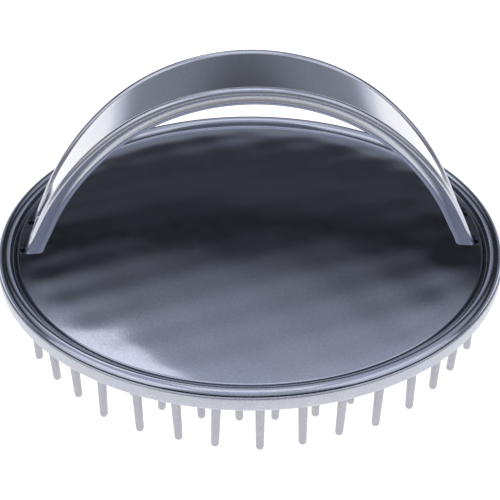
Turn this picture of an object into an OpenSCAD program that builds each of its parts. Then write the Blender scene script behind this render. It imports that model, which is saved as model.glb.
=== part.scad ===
// Scalp massager brush: a round two-part disc with rings of slim bristles
// underneath and an arched strap handle that clips into its top cover.
// Millimetres, +Z up. The origin is on the surface that the bristle tips
// stand on, under the middle of the disc. The handle runs along X.

/* [Overall] */
// Outside diameter of the disc
disc_d = 90; // [88:0.5:92]
// Height of the crest of the rim above the bristle tips
rim_h = 14.3; // [14:0.1:15]
// Height of the top of the handle above the bristle tips
handle_top = 44.8; // [44:0.2:46]

/* [Top cover] */
// Width of the raised bead around the rim
bead_w = 2.4; // [2.2:0.1:2.5]
// Width of the groove between the bead and the panel
groove_w = 0.9; // [0.8:0.05:1]
// Depth of the groove below the edge of the panel
groove_depth = 0.5; // [0.4:0.05:0.55]
// Drop from the crest of the bead to the edge of the panel
panel_drop = 1.2; // [1.1:0.05:1.2]
// Rise of the domed panel from its edge to its middle
dome_rise = 0.6; // [0.4:0.1:0.7]
// Thickness of the panel at its edge
panel_t = 0.95; // [0.9:0.05:1]
// Radius along the edge of the panel
panel_round = 0.35; // [0.25:0.05:0.4]
// Wall thickness of the spigot ring that drops into the base
spigot_t = 1.3; // [1:0.1:1.5]
// Radius of the inner support rib under the panel
rib_r = 14; // [12:0.5:16]

/* [Base plate] */
// Thickness of the plate that carries the bristles
plate_t = 0.9; // [0.85:0.05:0.95]
// Height of the open seam between the skirt and the bead
seam_gap = 0.25; // [0.15:0.05:0.3]
// Clearance between the spigot and the skirt
spigot_clearance = 0.1; // [0.05:0.05:0.15]
// Radius along the lower edge of the skirt
skirt_round = 0.6; // [0.4:0.1:1]
// Radius along the upper edge of the skirt
seam_round = 0.35; // [0.2:0.05:0.4]
// Depth of the pockets that clear the handle's barbs
pocket_depth = 0.6; // [0.55:0.05:0.65]

/* [Bristles] */
// Length of a bristle below the plate
bristle_len = 10.8; // [10.5:0.1:11.2]
// Diameter of a bristle just below its root
root_d = 1.5; // [1.4:0.05:1.7]
// Diameter of a bristle just above its rounded tip
tip_d = 1.3; // [1.2:0.05:1.4]
// Radius of the fillet where a bristle leaves the plate
root_fillet = 0.7; // [0.4:0.1:0.9]
// Diameter of the small flat on a bristle's tip
tip_flat_d = 0.5; // [0.4:0.1:0.7]
// Distance between neighbouring rings of bristles
ring_pitch = 5.9; // [5.6:0.05:5.95]
// Bristles in the outermost ring
outer_count = 40; // [36:1:42]

/* [Handle] */
// Width of the band at the top of the arch
crown_w = 16.6; // [15.5:0.1:17]
// Width of the band at its feet
foot_w = 13; // [12.4:0.1:13.4]
// Outer radius of the crown of the arch
crown_r = 37.6; // [37:0.2:38]
// Half of the angle that the crown covers
crown_half_angle = 41; // [39:0.5:42]
// Half of the span of the arch, over its outer faces, at the panel
foot_half_span = 39.4; // [39.2:0.1:39.5]
// Depth of the rails along the edges of the band
edge_depth = 3.05; // [2.9:0.05:3.2]
// Thickness of those rails
edge_t = 1.6; // [1.4:0.1:1.7]
// Thickness of the web between the edges
web_t = 1.2; // [1.1:0.1:1.3]
// Depth of the web below the top of the rails
web_recess = 0.5; // [0.4:0.05:0.55]
// Width of the arched notch between the two legs of a foot
notch_w = 6; // [5.8:0.1:6.2]
// Height of that notch
notch_h = 1.8; // [1.6:0.1:2]

/* [Clips] */
// Thickness of a prong
prong_t = 1.3; // [1.2:0.05:1.4]
// Width of a prong
prong_w = 2.6; // [2.4:0.1:2.7]
// Distance from the middle of the band to the middle of a prong
prong_y = 4.6; // [4.5:0.05:4.65]
// Reach of the barb outside the prong
barb_reach = 0.6; // [0.5:0.05:0.7]
// Room in the cover's slot beyond the foot, where the barb goes in
slot_room = 1.25; // [1.15:0.05:1.3]

/* [Hidden] */
$fn = 96;

disc_r = disc_d / 2;
far = 2 * disc_d;            // longer than anything it cuts
outer_ring = 7;              // number of the outermost ring
ring_step = 6;               // bristles that each inner ring gains on the last

// Levels, from the bristle tips up
plate_z = bristle_len;
floor_z = plate_z + plate_t;
panel_z = rim_h - panel_drop;
panel_under_z = panel_z - panel_t;
groove_z = panel_z - groove_depth;
bead_r = bead_w / 2;
bead_centre_z = rim_h - bead_r;
bead_inset = 0.1;            // bead inside the disc's full radius
bead_centre_x = disc_r - bead_inset - bead_r;
skirt_drop = 0.85;           // top of the skirt below the crest of the bead
skirt_top_z = rim_h - skirt_drop;
seam_z = skirt_top_z + seam_gap;

// Radii, from the rim inwards
skirt_t = 1.25;
skirt_in_r = disc_r - skirt_t;
spigot_r = skirt_in_r - spigot_clearance;
groove_out_r = bead_centre_x - bead_r;
panel_r = groove_out_r - groove_w;
dome_r = panel_r - panel_round;
dome_steps = 16;
rib_t = 0.8;
rib_bury = 0.2;              // overlap that joins a rib to what it carries

// Arch: a crown arc, then a flank arc on each side that is tangent to it
crown_z = handle_top - crown_r;
shoulder_x = crown_r * sin(crown_half_angle);
shoulder_z = crown_z + crown_r * cos(crown_half_angle);
foot_gap = 0.17;             // keeps the feet just clear of the dome under their inner edge
foot_z = panel_z + foot_gap;
chord_x = foot_half_span - shoulder_x;
chord_z = shoulder_z - foot_z;
chord_angle = atan2(chord_z, chord_x);
foot_angle = 2 * chord_angle - crown_half_angle;
flank_sweep = foot_angle - crown_half_angle;
flank_r = norm([chord_x, chord_z]) / (2 * sin(flank_sweep / 2));
flank_x = shoulder_x - flank_r * sin(crown_half_angle);
flank_z = shoulder_z - flank_r * cos(crown_half_angle);
foot_overrun = 6;            // degrees of flank below the foot, cut off level
leg_lean = 90 - foot_angle;
edge_lean = atan2((crown_w - foot_w) / 2, handle_top - foot_z);

notch_r = (notch_w * notch_w / 4 + notch_h * notch_h) / (2 * notch_h);
arch_roll_r = 0.6;
arch_roll_rise = 0.3;        // how far the notch's roll stands out of the web

prong_inset = 0.3;           // outer face of a prong inside the arch's foot
prong_bury = 0.5;            // overlap of a prong with its leg
barb_bury = 0.1;             // overlap of a barb with its prong
barb_gap = 0.1;              // gap above and below a barb
barb_lead = 0.6;             // share of a barb's height that its sloping lead takes
slot_side = 0.2;             // room beside and behind a prong
prong_x = foot_half_span - prong_inset;
prong_z = floor_z - pocket_depth + barb_gap;
slot_in_x = prong_x - prong_t - slot_side;
slot_out_x = foot_half_span + slot_room;
barb_h = panel_under_z - barb_gap - prong_z;

// A bar-shaped cutter or block from x to x, centred on y, from z to z
module block(x, y, w, z) {
    translate([x[0], y - w / 2, z[0]]) cube([x[1] - x[0], w, z[1] - z[0]]);
}

// Repeats its children at the four prongs
module at_prongs() {
    for (side = [0, 1], end = [0, 1])
        mirror([side, 0, 0]) mirror([0, end, 0]) children();
}

// ---- Top cover ----

// Height of the domed panel at a distance from its middle
function dome_z(r) = panel_z + dome_rise * (1 - (r / dome_r) * (r / dome_r));

module panel_section() {
    dome = [for (i = [dome_steps : -1 : 0]) let (r = dome_r * i / dome_steps) [r, dome_z(r)]];
    polygon(concat([[0, panel_under_z], [dome_r, panel_under_z]], dome));
    translate([dome_r, panel_z - panel_round]) circle(r = panel_round);
    translate([dome_r, panel_under_z]) square([panel_round, panel_t - panel_round]);
}

// Bead, the floor of the groove, and the spigot ring below them
module rim_section() {
    bead_wall_z = panel_under_z + rib_bury;
    translate([panel_r, panel_under_z]) square([spigot_r - panel_r, groove_z - panel_under_z]);
    translate([spigot_r - spigot_t, floor_z]) square([spigot_t, groove_z - floor_z]);
    translate([groove_out_r, bead_wall_z]) square([bead_r, bead_centre_z - bead_wall_z]);
    difference() {
        translate([bead_centre_x, bead_centre_z]) circle(r = bead_r);
        translate([spigot_r, 0]) square([far, seam_z]);
        square([far, bead_centre_z]);
    }
}

module cover_section() {
    panel_section();
    rim_section();
    for (r = [rib_r, 2 * rib_r])
        translate([r, floor_z]) square([rib_t, panel_under_z - floor_z + rib_bury]);
}

module top_cover() {
    color("dimgray")
        difference() {
            rotate_extrude() cover_section();
            at_prongs()
                block([slot_in_x, slot_out_x], prong_y, prong_w + 2 * slot_side, [0, handle_top]);
        }
}

// ---- Handle ----

// One arc of a section about a centre in the XZ plane, angles from +X towards +Z
module arch_arc(centre_x, centre_z, outer_r, start, sweep) {
    translate([centre_x, 0, centre_z]) rotate([90, -start, 0])
        rotate_extrude(angle = sweep) translate([outer_r, 0]) children();
}

// The whole arch of a layer that lies between two depths below its outer face
module arch_layer(top, bottom) {
    for (side = [0, 1]) {
        mirror([side, 0, 0])
            arch_arc(0, crown_z, crown_r, 90 - crown_half_angle, crown_half_angle)
                translate([-bottom, -crown_w]) square([bottom - top, 2 * crown_w]);
        mirror([side, 0, 0])
            arch_arc(flank_x, flank_z, flank_r, 90 - foot_angle - foot_overrun,
                     flank_sweep + foot_overrun)
                translate([-bottom, -crown_w]) square([bottom - top, 2 * crown_w]);
    }
}

// A layer whose sides are cut along the band's tapering edges, or inside them
module band_layer(top, bottom, inset) {
    difference() {
        arch_layer(top, bottom);
        for (end = [0, 1])
            mirror([0, end, 0]) translate([0, foot_w / 2 - inset, foot_z]) rotate([-edge_lean, 0, 0])
                translate([-far / 2, 0, -far / 2]) cube(far);
    }
}

// Places its children at a foot: local z up along the leg, local x outwards
module at_foot() {
    translate([foot_half_span, 0, foot_z]) rotate([0, -leg_lean, 0]) children();
}

module foot_notch() {
    at_foot() translate([-edge_depth, 0, notch_h - notch_r]) rotate([0, 90, 0])
        cylinder(r = notch_r, h = 2 * edge_depth);
}

// The roll that borders the notch
module notch_roll() {
    intersection() {
        at_foot() translate([-web_recess - arch_roll_r + arch_roll_rise, 0, notch_h - notch_r])
            rotate([0, 90, 0]) rotate_extrude()
                translate([notch_r + arch_roll_r, 0]) circle(r = arch_roll_r, $fn = 32);
        block([0, far], 0, 2 * prong_y, [foot_z, handle_top]);
    }
}

module prong() {
    barb_x = barb_bury + barb_reach;
    block([prong_x - prong_t, prong_x], prong_y, prong_w, [prong_z, foot_z + prong_bury]);
    translate([prong_x - barb_bury, prong_y + prong_w / 2, prong_z]) rotate([90, 0, 0])
        linear_extrude(prong_w)
            polygon([[0, 0], [barb_bury, 0], [barb_x, barb_h * barb_lead], [barb_x, barb_h],
                     [0, barb_h]]);
}

module handle_band() {
    color("slategray") {
        difference() {
            band_layer(0, edge_depth, 0);
            band_layer(-edge_depth, web_recess, edge_t);
            band_layer(web_recess + web_t, 2 * edge_depth, edge_t);
            translate([-far / 2, -far / 2, foot_z - far]) cube(far);
            for (side = [0, 1]) mirror([side, 0, 0]) foot_notch();
        }
        for (side = [0, 1]) mirror([side, 0, 0]) notch_roll();
        at_prongs() prong();
    }
}

// ---- Base plate ----

module base_section() {
    skirt_h = skirt_top_z - plate_z;
    translate([0, plate_z]) square([disc_r - skirt_round, plate_t]);
    translate([disc_r - skirt_round, plate_z + skirt_round]) circle(r = skirt_round);
    translate([skirt_in_r, plate_z + skirt_round])
        square([skirt_t, skirt_h - skirt_round - seam_round]);
    translate([skirt_in_r, plate_z + skirt_round])
        square([skirt_t - seam_round, skirt_h - skirt_round]);
    translate([disc_r - seam_round, skirt_top_z - seam_round]) circle(r = seam_round);
}

module base_plate() {
    color("lightsteelblue")
        difference() {
            rotate_extrude() base_section();
            at_prongs()
                block([slot_in_x - slot_side, slot_out_x + slot_side], prong_y, prong_w + 4 * slot_side,
                      [floor_z - pocket_depth, handle_top]);
        }
}

// ---- Bristles ----

// Half section of a bristle, standing on its tip
module bristle_section() {
    tip_r = tip_d / 2;
    root_r = root_d / 2;
    tip_sink = tip_r - sqrt(tip_r * tip_r - tip_flat_d * tip_flat_d / 4);
    difference() {
        union() {
            polygon([[0, tip_r], [tip_r, tip_r], [root_r, bristle_len - root_fillet],
                     [root_r + root_fillet, bristle_len - root_fillet],
                     [root_r + root_fillet, bristle_len], [0, bristle_len]]);
            intersection() {
                translate([0, tip_r - tip_sink]) circle(r = tip_r, $fn = 32);
                square([tip_r, tip_r]);
            }
        }
        translate([root_r + root_fillet, bristle_len - root_fillet]) circle(r = root_fillet, $fn = 32);
    }
}

module bristle() {
    rotate_extrude($fn = 24) bristle_section();
}

function ring_count(ring) = ring == outer_ring ? outer_count : ring_step * ring;

// The outermost ring starts on the X axis, and each other ring half a step off it
function ring_phase(ring) = ring == outer_ring ? 0 : 0.5;

// Ring number counts outwards from the centre bristle
module bristle_ring(ring) {
    color("silver")
        for (i = [0 : ring_count(ring) - 1])
            rotate([0, 0, (i + ring_phase(ring)) * 360 / ring_count(ring)])
                translate([ring * ring_pitch, 0, 0]) bristle();
}

module bristle_centre() {
    color("silver") bristle();
}

top_cover();
handle_band();
base_plate();
bristle_centre();
bristle_ring(1);  // bristle_ring_1
bristle_ring(2);  // bristle_ring_2
bristle_ring(3);  // bristle_ring_3
bristle_ring(4);  // bristle_ring_4
bristle_ring(5);  // bristle_ring_5
bristle_ring(6);  // bristle_ring_6
bristle_ring(7);  // bristle_ring_7
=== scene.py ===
"""Scalp massager brush: looks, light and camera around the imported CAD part.

Lengths are in millimetres and become metres where Blender takes them, except
those of the floor and the lights, which are in metres from the start. The frame
is the CAD's: +Z up, the origin under the middle of the disc on the surface that
the bristle tips stand on, and the handle along X.
"""
import math

import bmesh
import bpy
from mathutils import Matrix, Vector


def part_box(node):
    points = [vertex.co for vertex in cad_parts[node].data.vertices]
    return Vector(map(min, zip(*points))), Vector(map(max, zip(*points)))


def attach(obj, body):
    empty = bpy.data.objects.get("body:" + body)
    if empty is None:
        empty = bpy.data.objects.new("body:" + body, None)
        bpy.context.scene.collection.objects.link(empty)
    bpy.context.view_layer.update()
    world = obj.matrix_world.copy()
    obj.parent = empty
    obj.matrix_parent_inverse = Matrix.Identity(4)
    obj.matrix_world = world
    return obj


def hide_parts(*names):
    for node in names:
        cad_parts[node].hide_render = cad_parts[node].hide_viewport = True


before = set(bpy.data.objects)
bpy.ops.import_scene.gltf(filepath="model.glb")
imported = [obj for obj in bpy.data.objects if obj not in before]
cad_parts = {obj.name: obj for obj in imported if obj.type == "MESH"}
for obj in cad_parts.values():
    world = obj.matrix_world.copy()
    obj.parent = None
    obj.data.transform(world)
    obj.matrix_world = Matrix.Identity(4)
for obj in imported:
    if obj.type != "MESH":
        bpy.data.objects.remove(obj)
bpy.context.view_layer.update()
MM = 0.001


def node_box(node):
    """Lowest and highest corner of a CAD node in millimetres."""
    low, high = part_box(node)
    return low / MM, high / MM


COVER_LOW, COVER_HIGH = node_box("top_cover")
BASE_LOW, BASE_HIGH = node_box("base_plate")
HANDLE_LOW, HANDLE_HIGH = node_box("handle_band")
ROOT = "root"
CREASE = 35                  # faces that meet at a larger angle keep a sharp edge
HANDLE_CREASE = 50


# ---- Camera ----

CAMERA_DISTANCE = 180
CAMERA_ELEVATION = math.radians(34.1)
CAMERA_AZIMUTH = math.radians(-2.1)
CAMERA_TARGET_Z = 8.8
CAMERA_LENS = 70.3
SENSOR_WIDTH = 36
NEAREST = 1
FARTHEST = 20000


def make_camera():
    """A camera that looks down at the brush from the front."""
    data = bpy.data.cameras.new("camera")
    data.lens = CAMERA_LENS
    data.sensor_width = SENSOR_WIDTH
    data.clip_start = NEAREST * MM
    data.clip_end = FARTHEST * MM
    camera = bpy.data.objects.new("camera", data)
    bpy.context.scene.collection.objects.link(camera)
    flat = CAMERA_DISTANCE * math.cos(CAMERA_ELEVATION)
    rise = CAMERA_DISTANCE * math.sin(CAMERA_ELEVATION)
    camera.location = Vector((flat * math.sin(CAMERA_AZIMUTH), -flat * math.cos(CAMERA_AZIMUTH),
                              CAMERA_TARGET_Z + rise)) * MM
    camera.rotation_euler = (math.pi / 2 - CAMERA_ELEVATION, 0, CAMERA_AZIMUTH)
    bpy.context.scene.camera = camera


# ---- Mesh helpers ----

def arc(x, y, radius, start, end, steps):
    """Points on a circle, with angles in degrees."""
    angles = [math.radians(start + (end - start) * i / steps) for i in range(steps + 1)]
    return [(x + radius * math.cos(a), y + radius * math.sin(a)) for a in angles]


def piece_from(name, verts, faces, node_names, material, crease=CREASE):
    """A mesh piece that rides on the root body and stands for CAD nodes."""
    mesh = bpy.data.meshes.new(name)
    mesh.from_pydata([(x * MM, y * MM, z * MM) for x, y, z in verts], [], faces)
    finish_mesh(mesh, crease)
    piece = bpy.data.objects.new(name, mesh)
    bpy.context.scene.collection.objects.link(piece)
    mesh.materials.append(material)
    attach(piece, ROOT)
    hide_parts(*node_names)
    return piece


def finish_mesh(mesh, crease):
    """Outward normals, and smooth shading with creases at the sharp corners."""
    work = bmesh.new()
    work.from_mesh(mesh)
    bmesh.ops.recalc_face_normals(work, faces=work.faces)
    work.to_mesh(mesh)
    work.free()
    mesh.shade_smooth()
    mesh.set_sharp_from_angle(angle=math.radians(crease))


def lathe(profile, segments):
    """Vertices and faces of an outline (radius, z) turned about the Z axis.

    The outline runs from one point on the axis to another.
    """
    verts = []
    rows = []
    for radius, z in profile:
        if radius <= 0:
            rows.append([len(verts)] * segments)
            verts.append((0, 0, z))
        else:
            rows.append([len(verts) + i for i in range(segments)])
            for i in range(segments):
                a = 2 * math.pi * i / segments
                verts.append((radius * math.cos(a), radius * math.sin(a), z))
    faces = []
    for upper, lower in zip(rows, rows[1:]):
        for i in range(segments):
            j = (i + 1) % segments
            face = []
            for v in (upper[i], upper[j], lower[j], lower[i]):
                if v not in face:
                    face.append(v)
            faces.append(face)
    return verts, faces


# ---- Top cover ----

RIM_TOP = COVER_HIGH.z
BEAD_RADIUS = 1.2
BEAD_INSET = 0.1
PANEL_DROP = 1.2
PANEL_THICKNESS = 0.95
PANEL_ROUND = 0.35
DOME_RISE = 0.6
EDGE_MARGIN = 4.5
EDGE_FALL = 0.17
GROOVE_WIDTH = 0.9
GROOVE_DEPTH = 0.5
SEAM_DROP = 0.6
SPIGOT_INSET = 1.35
SPIGOT_THICKNESS = 1.3
LATHE_SEGMENTS = 540
DOME_STEPS = 44
EDGE_STEPS = 8
GROOVE_STEPS = 14
GROOVE_TRIM = 3              # steps left out where the groove's walls are upright
BEAD_STEPS = 40
DISC_RADIUS = BASE_HIGH.x
SEAM_Z = RIM_TOP - SEAM_DROP
PANEL_Z = RIM_TOP - PANEL_DROP
FLOOR_Z = COVER_LOW.z
BEAD_X = DISC_RADIUS - BEAD_INSET - BEAD_RADIUS
BEAD_Z = RIM_TOP - BEAD_RADIUS
GROOVE_OUT = BEAD_X - BEAD_RADIUS
PANEL_RADIUS = GROOVE_OUT - GROOVE_WIDTH
DOME_RADIUS = PANEL_RADIUS - PANEL_ROUND
GROOVE_Z = PANEL_Z - GROOVE_DEPTH
SPIGOT_OUT = DISC_RADIUS - SPIGOT_INSET
SPIGOT_IN = SPIGOT_OUT - SPIGOT_THICKNESS
SINK_DEPTH = 0.035
LONG_WAVE = 0.55
SHORT_WAVE = 0.16
EDGE_WAVES = 6               # how much the short waves grow towards the panel's edge
SINK_LOWER = 0.75            # keeps most of the waves below the plain dome
SINK_MARGIN = 0.3            # plain edge of the panel
SINK_FADE = 2.5              # width over which the waves fade in from it


def dome_z(radius):
    """Height of the domed panel, whose outer margin falls away faster."""
    margin = max(0, 1 - (DOME_RADIUS - radius) / EDGE_MARGIN)
    return PANEL_Z + DOME_RISE * (1 - (radius / DOME_RADIUS) ** 2) + EDGE_FALL * (1 - margin ** 2)


def cover_profile():
    """Half section of the cover: panel, groove, bead, then back along the underside."""
    under_z = PANEL_Z - PANEL_THICKNESS
    groove_mid = (GROOVE_OUT + PANEL_RADIUS) / 2
    groove_round = GROOVE_WIDTH / 2
    bead_end = math.degrees(math.asin((SEAM_Z - BEAD_Z) / BEAD_RADIUS))
    radii = [DOME_RADIUS * i / DOME_STEPS for i in range(DOME_STEPS)]
    points = [(r, dome_z(r)) for r in radii]
    points += arc(DOME_RADIUS, PANEL_Z - PANEL_ROUND, PANEL_ROUND, 90, 0, EDGE_STEPS)
    groove = arc(groove_mid, GROOVE_Z + groove_round, groove_round, 180, 360, GROOVE_STEPS)
    points += groove[GROOVE_TRIM:-GROOVE_TRIM]
    points += arc(BEAD_X, BEAD_Z, BEAD_RADIUS, 180, bead_end, BEAD_STEPS)
    points += [(SPIGOT_OUT, SEAM_Z), (SPIGOT_OUT, FLOOR_Z)]
    points += [(SPIGOT_IN, FLOOR_Z), (SPIGOT_IN, under_z), (0, under_z)]
    return points


def sink(x, y):
    """Waves like those that cooling leaves in a moulded panel, as shares of SINK_DEPTH.

    The bare factors only keep the waves irregular.
    """
    long_wave = math.sin(x * 0.16 + 1.2 * math.sin(y * 0.11)) * math.cos(y * 0.19 - 0.6)
    short_wave = math.sin(x * 0.41 - y * 0.23 + 0.7) * math.cos(y * 0.52 + x * 0.12)
    edge = (math.hypot(x, y) / DOME_RADIUS) ** 4
    return long_wave * LONG_WAVE + short_wave * SHORT_WAVE * (1 + EDGE_WAVES * edge)


def add_sinks(verts):
    """The same vertices, with the waves on those of the panel's upper face."""
    waved = []
    for x, y, z in verts:
        inside = DOME_RADIUS - SINK_MARGIN - math.hypot(x, y)
        if inside > 0 and z > PANEL_Z - PANEL_ROUND:
            z += SINK_DEPTH * min(1, inside / SINK_FADE) * (sink(x, y) - SINK_LOWER)
        waved.append((x, y, z))
    return waved


SLOT_X = (37.6, 40.65)
SLOT_Y = 4.6
SLOT_WIDTH = 3
SLOT_CUT = 6                 # height of the cutter, well past the panel


def cut_slots(piece):
    """The four slots that the handle's prongs go down."""
    mid_x = sum(SLOT_X) / 2
    work = bmesh.new()
    for side in (-1, 1):
        for end in (-1, 1):
            made = bmesh.ops.create_cube(work, size=1)["verts"]
            for v in made:
                v.co.x = (side * mid_x + v.co.x * (SLOT_X[1] - SLOT_X[0])) * MM
                v.co.y = (end * SLOT_Y + v.co.y * SLOT_WIDTH) * MM
                v.co.z = (PANEL_Z + v.co.z * SLOT_CUT) * MM
    mesh = bpy.data.meshes.new("slot_cutter")
    work.to_mesh(mesh)
    work.free()
    cutter = bpy.data.objects.new("slot_cutter", mesh)
    bpy.context.scene.collection.objects.link(cutter)
    modifier = piece.modifiers.new("slots", "BOOLEAN")
    modifier.object = cutter
    modifier.operation = "DIFFERENCE"
    modifier.solver = "EXACT"
    apply_modifiers(piece)
    bpy.data.objects.remove(cutter)
    piece.data.set_sharp_from_angle(angle=math.radians(CREASE))


def apply_modifiers(piece):
    """Puts the result of a piece's modifiers into its mesh."""
    graph = bpy.context.evaluated_depsgraph_get()
    made = bpy.data.meshes.new_from_object(piece.evaluated_get(graph))
    piece.modifiers.clear()
    piece.data = made


def make_cover(material):
    """The cover: domed panel, groove, bead, spigot and slots."""
    verts, faces = lathe(cover_profile(), LATHE_SEGMENTS)
    piece = piece_from("cover_shell", add_sinks(verts), faces, ["top_cover"],
                       material)
    cut_slots(piece)


# ---- Base plate ----

SKIRT_LOW_ROUND = 0.6
SKIRT_TOP_ROUND = 0.35
SKIRT_THICKNESS = 1.25
SKIRT_LOW_STEPS = 14
PLATE_RINGS = 7              # rings of vertices on the face that carries the bristles
PLATE_RING_STEP = 6


def make_base(material):
    """The base: the skirt and the plate that carries the bristles."""
    top = BASE_HIGH.z
    plate_z = BASE_LOW.z
    inner = DISC_RADIUS - SKIRT_THICKNESS
    points = [(0, FLOOR_Z), (inner, FLOOR_Z), (inner, top)]
    points += arc(DISC_RADIUS - SKIRT_TOP_ROUND, top - SKIRT_TOP_ROUND, SKIRT_TOP_ROUND, 90, 0,
                  EDGE_STEPS)
    points += arc(DISC_RADIUS - SKIRT_LOW_ROUND, plate_z + SKIRT_LOW_ROUND, SKIRT_LOW_ROUND, 0, -90,
                  SKIRT_LOW_STEPS)
    points += [(PLATE_RING_STEP * i, plate_z) for i in range(PLATE_RINGS, -1, -1)]
    verts, faces = lathe(points, LATHE_SEGMENTS)
    piece_from("base_shell", verts, faces, ["base_plate"], material)


# ---- Bristles ----

OUTER_RING = 7
OUTER_COUNT = 40             # bristles in the outermost ring
RING_STEP = 6                # each other ring has this many more than the one inside it
RING_PITCH = 5.9
ROOT_RADIUS = 0.75
TIP_RADIUS = 0.65
TIP_FLAT = 0.25
ROOT_FILLET = 0.7
BRISTLE_SEGMENTS = 24
BRISTLE_STEPS = 7
MOST_LEAN = 0.045
LEAST_SHARE = 0.35           # the least lean, as a share of the most
WAIST_SLIM = 0.04            # how much slimmer a bristle is half-way up than at its root


def bristle_profile():
    """Half section of a bristle from the middle of its tip up to its filleted root."""
    length = BASE_LOW.z
    sunk = TIP_RADIUS - math.sqrt(TIP_RADIUS ** 2 - TIP_FLAT ** 2)
    start = -math.degrees(math.acos(TIP_FLAT / TIP_RADIUS))
    points = [(0, 0)] + arc(0, TIP_RADIUS - sunk, TIP_RADIUS, start, 0, BRISTLE_STEPS)
    points += [(ROOT_RADIUS - WAIST_SLIM, length / 2)]
    points += arc(ROOT_RADIUS + ROOT_FILLET, length - ROOT_FILLET, ROOT_FILLET, 180, 90,
                  BRISTLE_STEPS)
    return points + [(0, length)]


def lean_of(ring, number):
    """How far a moulded bristle leans along X and Y, as a slope.

    The bare factors only keep the leans of neighbours unlike each other.
    """
    turn = ring * 2.4 + number * 1.9
    share = LEAST_SHARE + (1 - LEAST_SHARE) * math.sin(number * 2.3 + ring) ** 2
    size = MOST_LEAN * share
    return size * math.cos(turn), size * math.sin(turn)


def ring_places(ring):
    """Where the bristles of a ring stand."""
    if ring == 0:
        return [(0, 0)]
    count = OUTER_COUNT if ring == OUTER_RING else RING_STEP * ring
    phase = 0 if ring == OUTER_RING else 0.5
    angles = [2 * math.pi * (i + phase) / count for i in range(count)]
    return [(ring * RING_PITCH * math.cos(a), ring * RING_PITCH * math.sin(a)) for a in angles]


def make_bristles(ring, material):
    """One ring of leaning bristles as one piece."""
    length = BASE_LOW.z
    shape, faces = lathe(bristle_profile(), BRISTLE_SEGMENTS)
    verts, all_faces = [], []
    for number, (x, y) in enumerate(ring_places(ring)):
        lean_x, lean_y = lean_of(ring, number)
        base = len(verts)
        verts += [(x + px + lean_x * (length - pz), y + py + lean_y * (length - pz), pz)
                  for px, py, pz in shape]
        all_faces += [[v + base for v in face] for face in faces]
    node = "bristle_ring_%d" % ring if ring else "bristle_centre"
    piece_from("bristles_%d" % ring, verts, all_faces, [node], material)


# ---- Handle ----

HANDLE_TOP = HANDLE_HIGH.z
FOOT_HALF_SPAN = 39.4
FOOT_GAP = 0.17              # keeps the feet clear of the panel
FOOT_Z = PANEL_Z + FOOT_GAP
CROWN_RADIUS = 37.6
CROWN_HALF_ANGLE = math.radians(41)
CROWN_WIDTH = HANDLE_HIGH.y - HANDLE_LOW.y
FOOT_WIDTH = 13
EDGE_DEPTH = 3.05
OUTER_ROLL = 0.78
INNER_ROLL = 0.85
INNER_ROLL_INSET = 0.06
CREASE_ANGLE = 103
WEB_THICKNESS = 1.2
CROWN_RECESS = 0.42
LEG_RECESS = 0.8
DEEPEST_RECESS = OUTER_ROLL - 0.02
NOTCH_WIDTH = 6
NOTCH_HEIGHT = 1.8
FOOT_ROLL = 0.62
FOOT_ROLL_DROP = 0.05        # top of the notch's roll below the rails
FOOT_FLARE = 0.35
FLARE_LENGTH = 4.5
HANDLE_STATIONS = 260
STATION_EASE = 1.35          # crowds the stations towards the feet
WEB_STEPS = 12
ROLL_STEPS = 24
RECESS_START = 0.35          # shares of the way down where the recess deepens
RECESS_SPAN = 0.5

crown_z = HANDLE_TOP - CROWN_RADIUS
shoulder_x = CROWN_RADIUS * math.sin(CROWN_HALF_ANGLE)
shoulder_z = crown_z + CROWN_RADIUS * math.cos(CROWN_HALF_ANGLE)
chord_angle = math.atan2(shoulder_z - FOOT_Z, FOOT_HALF_SPAN - shoulder_x)
foot_angle = 2 * chord_angle - CROWN_HALF_ANGLE
flank_radius = (math.hypot(FOOT_HALF_SPAN - shoulder_x, shoulder_z - FOOT_Z)
                / (2 * math.sin((foot_angle - CROWN_HALF_ANGLE) / 2)))
flank_x = shoulder_x - flank_radius * math.sin(CROWN_HALF_ANGLE)
flank_z = shoulder_z - flank_radius * math.cos(CROWN_HALF_ANGLE)


def arch_point(travel, depth):
    """A point at a depth below the arch's outer face, and how steep the arch is there.

    Travel is the distance along the outer face from the top of the arch.
    """
    crown_length = CROWN_RADIUS * CROWN_HALF_ANGLE
    if travel <= crown_length:
        angle = travel / CROWN_RADIUS
        reach = CROWN_RADIUS - depth
        return reach * math.sin(angle), crown_z + reach * math.cos(angle), angle
    angle = CROWN_HALF_ANGLE + (travel - crown_length) / flank_radius
    reach = flank_radius - depth
    return flank_x + reach * math.sin(angle), flank_z + reach * math.cos(angle), angle


def travel_to(depth, z):
    """The travel at which a line at that depth comes down to a height."""
    angle = math.acos((z - flank_z) / (flank_radius - depth))
    return CROWN_RADIUS * CROWN_HALF_ANGLE + flank_radius * (angle - CROWN_HALF_ANGLE)


def notch_z(y):
    """Height of the foot's lower edge at a distance from the middle of the band."""
    if abs(y) >= NOTCH_WIDTH / 2:
        return FOOT_Z
    return FOOT_Z + NOTCH_HEIGHT * math.sqrt(1 - (2 * y / NOTCH_WIDTH) ** 2)


def smooth(value):
    """An even start and stop between 0 and 1."""
    value = min(1, max(0, value))
    return value * value * (3 - 2 * value)


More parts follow.
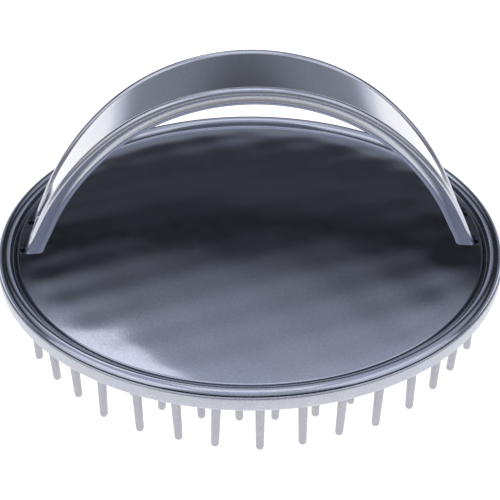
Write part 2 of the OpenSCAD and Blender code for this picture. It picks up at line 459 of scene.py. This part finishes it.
def band_section(recess):
    """Half section across the band, round from the top, and where the web meets the roll.

    Each point is a kind, a value and a depth. A "share" or "under" value says how
    far out a point of the web is between the middle and the rail, on the outer or
    the inner face; an "inset" value is measured in from the edge of the band.
    """
    meet = math.degrees(math.acos((OUTER_ROLL - recess) / OUTER_ROLL))
    web = [("share", i / WEB_STEPS, recess) for i in range(WEB_STEPS)]
    turns = [i / ROLL_STEPS for i in range(ROLL_STEPS + 1)]
    outer = [math.radians(-meet + (CREASE_ANGLE + meet) * t) for t in turns]
    inner = [math.radians(180 - CREASE_ANGLE + (90 + CREASE_ANGLE) * t) for t in turns]
    roll = [("inset", OUTER_ROLL - OUTER_ROLL * math.sin(a), OUTER_ROLL - OUTER_ROLL * math.cos(a))
            for a in outer]
    low_depth = EDGE_DEPTH - INNER_ROLL
    lower = [("inset", INNER_ROLL_INSET + INNER_ROLL - INNER_ROLL * math.sin(a),
              low_depth - INNER_ROLL * math.cos(a)) for a in inner]
    under = [("under", 1 - i / WEB_STEPS, recess + WEB_THICKNESS) for i in range(WEB_STEPS + 1)]
    return web + roll + lower + under, meet


def rail_inset(meet):
    """How far in from the edge the web meets the outer roll."""
    return OUTER_ROLL + OUTER_ROLL * math.sin(math.radians(meet))


def half_width(z):
    """Half of the band's width at a height."""
    share = (z - FOOT_Z) / (HANDLE_TOP - FOOT_Z)
    return (FOOT_WIDTH + (CROWN_WIDTH - FOOT_WIDTH) * share) / 2


def across(kind, value, width, meet):
    """Distance from the middle of the band of one point of the section."""
    if kind == "inset":
        return width - value
    inset = rail_inset(meet) if kind == "share" else INNER_ROLL_INSET + 2 * INNER_ROLL
    return value * (width - inset)


def handle_rows():
    """Loops of points round the band, from one foot over the top to the other."""
    rows = []
    for station in range(-HANDLE_STATIONS, HANDLE_STATIONS + 1):
        share = abs(station) / HANDLE_STATIONS
        share = 1 - (1 - share) ** STATION_EASE
        side = -1 if station < 0 else 1
        deepening = smooth((share - RECESS_START) / RECESS_SPAN)
        recess = CROWN_RECESS + (LEG_RECESS - CROWN_RECESS) * deepening
        section, meet = band_section(min(recess, DEEPEST_RECESS))
        half = []
        for kind, value, depth in section:
            foot_y = across(kind, value, FOOT_WIDTH / 2, meet)
            outer = kind != "under" and depth < WEB_THICKNESS
            end = travel_to(depth, notch_z(foot_y))
            travel = share * end
            left = end - travel
            lift = foot_roll(kind, left, foot_y, recess) if outer else 0
            x, z, angle = arch_point(travel, depth - lift)
            flare = FOOT_FLARE * smooth(1 - (z - FOOT_Z) / FLARE_LENGTH)
            half.append((side * (x + flare), across(kind, value, half_width(z), meet), z))
        other = [(x, -y, z) for x, y, z in half[1:-1]]
        rows.append(half + other[::-1])
    return rows


def foot_roll(kind, left, y, recess):
    """Height of the roll that borders the notch, above the web."""
    if kind != "share" or left >= 2 * FOOT_ROLL:
        return 0
    round_over = math.sqrt(max(0, 1 - (left / FOOT_ROLL - 1) ** 2))
    return (recess - FOOT_ROLL_DROP) * round_over


def make_handle(material):
    """The arched band with its rails and feet, and its four prongs."""
    rows = handle_rows()
    count = len(rows[0])
    verts = [v for row in rows for v in row]
    faces = []
    for i in range(len(rows) - 1):
        for j in range(count):
            k = (j + 1) % count
            faces.append([i * count + j, i * count + k, (i + 1) * count + k, (i + 1) * count + j])
    last = (len(rows) - 1) * count
    faces.append(list(range(count)))
    faces.append([last + j for j in range(count)][::-1])
    piece = piece_from("handle_shell", verts, faces, ["handle_band"], material,
                       HANDLE_CREASE)
    work = bmesh.new()
    work.from_mesh(piece.data)
    ends = [f for f in work.faces if len(f.verts) > 4]
    bmesh.ops.triangulate(work, faces=ends)
    add_prongs(work)
    work.to_mesh(piece.data)
    work.free()
    piece.data.set_sharp_from_angle(angle=math.radians(HANDLE_CREASE))
    piece.visible_glossy = False     # keeps the arch out of the panel's reflections


PRONG_X = (37.8, 39.1)
PRONG_WIDTH = 2.6
PRONG_LOW = FLOOR_Z - 0.5
PRONG_HIGH = FOOT_Z + 0.4
PRONG_ROUND = 0.15


def add_prongs(work):
    """Four prongs with rounded corners, down through the cover's slots."""
    for side in (-1, 1):
        for end in (-1, 1):
            made = bmesh.ops.create_cube(work, size=1)["verts"]
            for v in made:
                v.co.x = side * (sum(PRONG_X) / 2 + v.co.x * (PRONG_X[1] - PRONG_X[0])) * MM
                v.co.y = (end * SLOT_Y + v.co.y * PRONG_WIDTH) * MM
                v.co.z = ((PRONG_HIGH + PRONG_LOW) / 2 + v.co.z * (PRONG_HIGH - PRONG_LOW)) * MM
            edges = list({e for v in made for e in v.link_edges})
            bmesh.ops.bevel(work, geom=edges, offset=PRONG_ROUND * MM, segments=2, affect="EDGES")


# ---- Materials ----

METAL_SHARE = 1.0
FLAKE_SIZE = 0.16
FLAKE_DEPTH = 0.0025
CLOUD_SIZE = 14
CLOUD_DETAIL = 4
HAZE_SIZE = 2.2
HAZE_DETAIL = 6
COAT_ROUGHNESS = 0.05
SPECK_RANGE = (0.9, 1.12)              # darkest and brightest flake, times the colour
CLOUD_SPAN = (0.3, 0.7)
CLOUD_TINT = (0.93, 0.94, 0.98, 1)
HAZE_RANGE = (0.85, 1.2)               # least and most rough, times the roughness
RIPPLE_STRENGTH = 0.25
GRAIN_STRENGTH = 0.12
PAINTED_SHADE_REACH = 1.5
PAINTED_SHADE_DARKEST = 0.25                     # brightness that the painted shade leaves in the closest corners
CORNER_SAMPLES = 8
PAINTED_SHADE_SPAN = (0.3, 0.85)              # openness from the darkest painted shade to the plain colour


def noise(nodes, size, detail):
    """A noise texture whose features are about a size in millimetres."""
    texture = nodes.new("ShaderNodeTexNoise")
    texture.inputs["Scale"].default_value = 1 / (size * MM)
    texture.inputs["Detail"].default_value = detail
    return texture


def product(nodes, links, first, second):
    """The product of two colours."""
    mix = nodes.new("ShaderNodeMix")
    mix.data_type = "RGBA"
    mix.blend_type = "MULTIPLY"
    mix.inputs["Factor"].default_value = 1
    links.new(first, mix.inputs["A"])
    links.new(second, mix.inputs["B"])
    return mix.outputs["Result"]


def bump(nodes, links, height, strength):
    """A bump no deeper than a flake."""
    made = nodes.new("ShaderNodeBump")
    made.inputs["Strength"].default_value = strength
    made.inputs["Distance"].default_value = FLAKE_DEPTH * MM
    links.new(height, made.inputs["Height"])
    return made


def pigmented_plastic(name, colour, roughness, coat):
    """Plastic full of fine metal flake: bright specks, soft clouds and a faint ripple.

    Close corners get painted shade in the base colour, which the soft boxes alone would leave too
    bright.
    """
    material = bpy.data.materials.new(name)
    material.use_nodes = True
    nodes = material.node_tree.nodes
    links = material.node_tree.links
    shader = nodes["Principled BSDF"]
    shader.inputs["Metallic"].default_value = METAL_SHARE
    shader.inputs["Coat Weight"].default_value = coat
    shader.inputs["Coat Roughness"].default_value = COAT_ROUGHNESS
    place = nodes.new("ShaderNodeTexCoord").outputs["Object"]

    flake = nodes.new("ShaderNodeTexVoronoi")
    flake.inputs["Scale"].default_value = 1 / (FLAKE_SIZE * MM)
    cloud = noise(nodes, CLOUD_SIZE, CLOUD_DETAIL)
    haze = noise(nodes, HAZE_SIZE, HAZE_DETAIL)
    for texture in (flake, cloud, haze):
        links.new(place, texture.inputs["Vector"])

    speck = nodes.new("ShaderNodeValToRGB")
    for element, factor in zip(speck.color_ramp.elements, SPECK_RANGE):
        element.color = tuple(min(1, c * factor) for c in colour) + (1,)
    links.new(flake.outputs["Color"], speck.inputs["Fac"])
    drift = nodes.new("ShaderNodeValToRGB")
    for element, position in zip(drift.color_ramp.elements, CLOUD_SPAN):
        element.position = position
    drift.color_ramp.elements[0].color = CLOUD_TINT
    links.new(cloud.outputs["Fac"], drift.inputs["Fac"])
    tint = product(nodes, links, speck.outputs["Color"], drift.outputs["Color"])
    # Painted shade: ambient occlusion darkens the base colour in close corners, grooves and
    # creases.
    corner_occlusion = nodes.new("ShaderNodeAmbientOcclusion")
    corner_occlusion.only_local = True
    corner_occlusion.samples = CORNER_SAMPLES
    corner_occlusion.inputs["Distance"].default_value = PAINTED_SHADE_REACH * MM
    painted_shade = nodes.new("ShaderNodeMapRange")
    painted_shade.inputs["From Min"].default_value = PAINTED_SHADE_SPAN[0]
    painted_shade.inputs["From Max"].default_value = PAINTED_SHADE_SPAN[1]
    painted_shade.inputs["To Min"].default_value = PAINTED_SHADE_DARKEST
    links.new(corner_occlusion.outputs["AO"], painted_shade.inputs["Value"])
    shade = product(nodes, links, tint, painted_shade.outputs["Result"])
    links.new(shade, shader.inputs["Base Color"])

    gloss = nodes.new("ShaderNodeMapRange")
    gloss.inputs["To Min"].default_value = roughness * HAZE_RANGE[0]
    gloss.inputs["To Max"].default_value = roughness * HAZE_RANGE[1]
    links.new(haze.outputs["Fac"], gloss.inputs["Value"])
    links.new(gloss.outputs["Result"], shader.inputs["Roughness"])

    ripple = bump(nodes, links, haze.outputs["Fac"], RIPPLE_STRENGTH)
    grain = bump(nodes, links, flake.outputs["Distance"], GRAIN_STRENGTH)
    links.new(ripple.outputs["Normal"], grain.inputs["Normal"])
    links.new(grain.outputs["Normal"], shader.inputs["Normal"])
    return material


# ---- Stage ----

FLOOR_HALF = 3.0
FLOOR_COLOUR = (0.1, 0.1, 0.1, 1)
FLOOR_ROUGHNESS = 0.9
FLOOR_SPECULAR = 0.1
FLOOR_GLOW = 1.2
APRON_GLOW = 0.3
APRON_START = -0.06
APRON_END = -0.085


def make_floor():
    """A white table whose front part, towards the camera, is dark as reflections see it."""
    mesh = bpy.data.meshes.new("floor")
    corners = [(x * FLOOR_HALF, y * FLOOR_HALF, 0) for x, y in ((-1, -1), (1, -1), (1, 1), (-1, 1))]
    mesh.from_pydata(corners, [], [(0, 1, 2, 3)])
    floor = bpy.data.objects.new("floor", mesh)
    bpy.context.scene.collection.objects.link(floor)
    material = bpy.data.materials.new("floor_white")
    material.use_nodes = True
    nodes = material.node_tree.nodes
    links = material.node_tree.links
    shader = nodes["Principled BSDF"]
    shader.inputs["Base Color"].default_value = FLOOR_COLOUR
    shader.inputs["Roughness"].default_value = FLOOR_ROUGHNESS
    shader.inputs["Specular IOR Level"].default_value = FLOOR_SPECULAR
    shader.inputs["Emission Color"].default_value = (1, 1, 1, 1)
    split = nodes.new("ShaderNodeSeparateXYZ")
    links.new(nodes.new("ShaderNodeTexCoord").outputs["Object"], split.inputs["Vector"])
    apron = nodes.new("ShaderNodeMapRange")
    apron.interpolation_type = "SMOOTHSTEP"
    apron.inputs["From Min"].default_value = APRON_END
    apron.inputs["From Max"].default_value = APRON_START
    apron.inputs["To Min"].default_value = APRON_GLOW
    apron.inputs["To Max"].default_value = FLOOR_GLOW
    links.new(split.outputs["Y"], apron.inputs["Value"])
    seen = nodes.new("ShaderNodeMix")
    seen.inputs["B"].default_value = FLOOR_GLOW
    links.new(nodes.new("ShaderNodeLightPath").outputs["Is Camera Ray"], seen.inputs["Factor"])
    links.new(apron.outputs["Result"], seen.inputs["A"])
    links.new(seen.outputs["Result"], shader.inputs["Emission Strength"])
    mesh.materials.append(material)


# Brightness of the studio by height, as (sine of the elevation, brightness) pairs
BACK_STUDIO = ((0.0, 1.0), (0.04, 0.95), (0.09, 0.38), (0.37, 0.34), (0.43, 0.03), (0.455, 0.03),
               (0.49, 0.1), (0.53, 0.0), (0.565, 0.0), (0.6, 0.22), (0.66, 0.48), (0.75, 0.62),
               (1.0, 0.75))
FRONT_STUDIO = ((0.0, 0.3), (0.1, 0.25), (0.35, 0.3), (0.6, 0.65), (1.0, 0.75))
STUDIO_TINT = (0.8, 0.86, 1.0)
STUDIO_TURN = (-0.15, 0.3)   # Y of the directions where the front ends and the back begins
WALL_COLOUR = (0.95, 0.96, 0.98, 1)
LIGHT_TARGET = Vector((0, 0, 0.02))


def studio_ramp(nodes, stops):
    """A colour ramp with the studio's tint at each stop's brightness."""
    ramp = nodes.new("ShaderNodeValToRGB")
    elements = ramp.color_ramp.elements
    while len(elements) < len(stops):
        elements.new(0.5)
    for element, (place, value) in zip(elements, stops):
        element.position = place
        element.color = tuple(value * t for t in STUDIO_TINT) + (1,)
    return ramp


def make_studio():
    """A graded studio for light and reflections, and a plain pale wall for the camera."""
    world = bpy.data.worlds.new("studio")
    world.use_nodes = True
    nodes = world.node_tree.nodes
    links = world.node_tree.links
    place = nodes.new("ShaderNodeTexCoord").outputs["Generated"]
    split = nodes.new("ShaderNodeSeparateXYZ")
    links.new(place, split.inputs["Vector"])
    back = studio_ramp(nodes, BACK_STUDIO)
    front = studio_ramp(nodes, FRONT_STUDIO)
    for ramp in (back, front):
        links.new(split.outputs["Z"], ramp.inputs["Fac"])
    side = nodes.new("ShaderNodeMapRange")
    side.inputs["From Min"].default_value = STUDIO_TURN[0]
    side.inputs["From Max"].default_value = STUDIO_TURN[1]
    links.new(split.outputs["Y"], side.inputs["Value"])
    mix = nodes.new("ShaderNodeMix")
    mix.data_type = "RGBA"
    links.new(side.outputs["Result"], mix.inputs["Factor"])
    links.new(front.outputs["Color"], mix.inputs["A"])
    links.new(back.outputs["Color"], mix.inputs["B"])
    studio = nodes["Background"]
    links.new(mix.outputs["Result"], studio.inputs["Color"])
    wall = nodes.new("ShaderNodeBackground")
    wall.inputs["Color"].default_value = WALL_COLOUR
    path = nodes.new("ShaderNodeLightPath")
    choose = nodes.new("ShaderNodeMixShader")
    links.new(path.outputs["Is Camera Ray"], choose.inputs["Fac"])
    links.new(studio.outputs["Background"], choose.inputs[1])
    links.new(wall.outputs["Background"], choose.inputs[2])
    links.new(choose.outputs["Shader"], nodes["World Output"].inputs["Surface"])
    bpy.context.scene.world = world
    bpy.context.scene.view_settings.view_transform = "Standard"


def area_light(name, location, width, height, power):
    """A soft box at a place in metres, aimed at the brush."""
    data = bpy.data.lights.new(name, "AREA")
    data.shape = "RECTANGLE"
    data.size = width
    data.size_y = height
    data.energy = power
    lamp = bpy.data.objects.new(name, data)
    lamp.location = location
    aim = LIGHT_TARGET - Vector(location)
    lamp.rotation_euler = aim.to_track_quat("-Z", "Y").to_euler()
    bpy.context.scene.collection.objects.link(lamp)


# ---- Build ----

# Colour, roughness and clear coat of each plastic
COVER_FINISH = ((0.51, 0.525, 0.59), 0.12, 0.2)
HANDLE_FINISH = ((0.54, 0.55, 0.6), 0.16, 0.2)
BASE_FINISH = ((0.5, 0.515, 0.565), 0.4, 0.3)
BRISTLE_FINISH = ((0.41, 0.405, 0.44), 0.4, 0.3)

# Name, place, width and height in metres, and power of each soft box
SOFT_BOXES = (("top_box", (0, -0.09, 0.9), 0.5, 0.5, 0.4),
              ("left_box", (-0.7, -0.35, 0.55), 0.9, 0.9, 1.5),
              ("right_box", (0.7, -0.35, 0.55), 0.9, 0.9, 1.2),
              ("back_box", (-0.25, 0.6, 0.8), 0.3, 0.26, 0.2))

make_camera()
make_floor()
make_studio()
for box in SOFT_BOXES:
    area_light(*box)
cover_material = pigmented_plastic("cover_plastic", *COVER_FINISH)
handle_material = pigmented_plastic("handle_plastic", *HANDLE_FINISH)
base_material = pigmented_plastic("base_plastic", *BASE_FINISH)
bristle_material = pigmented_plastic("bristle_plastic", *BRISTLE_FINISH)
make_cover(cover_material)
make_base(base_material)
make_handle(handle_material)
for ring_number in range(OUTER_RING + 1):
    make_bristles(ring_number, bristle_material)
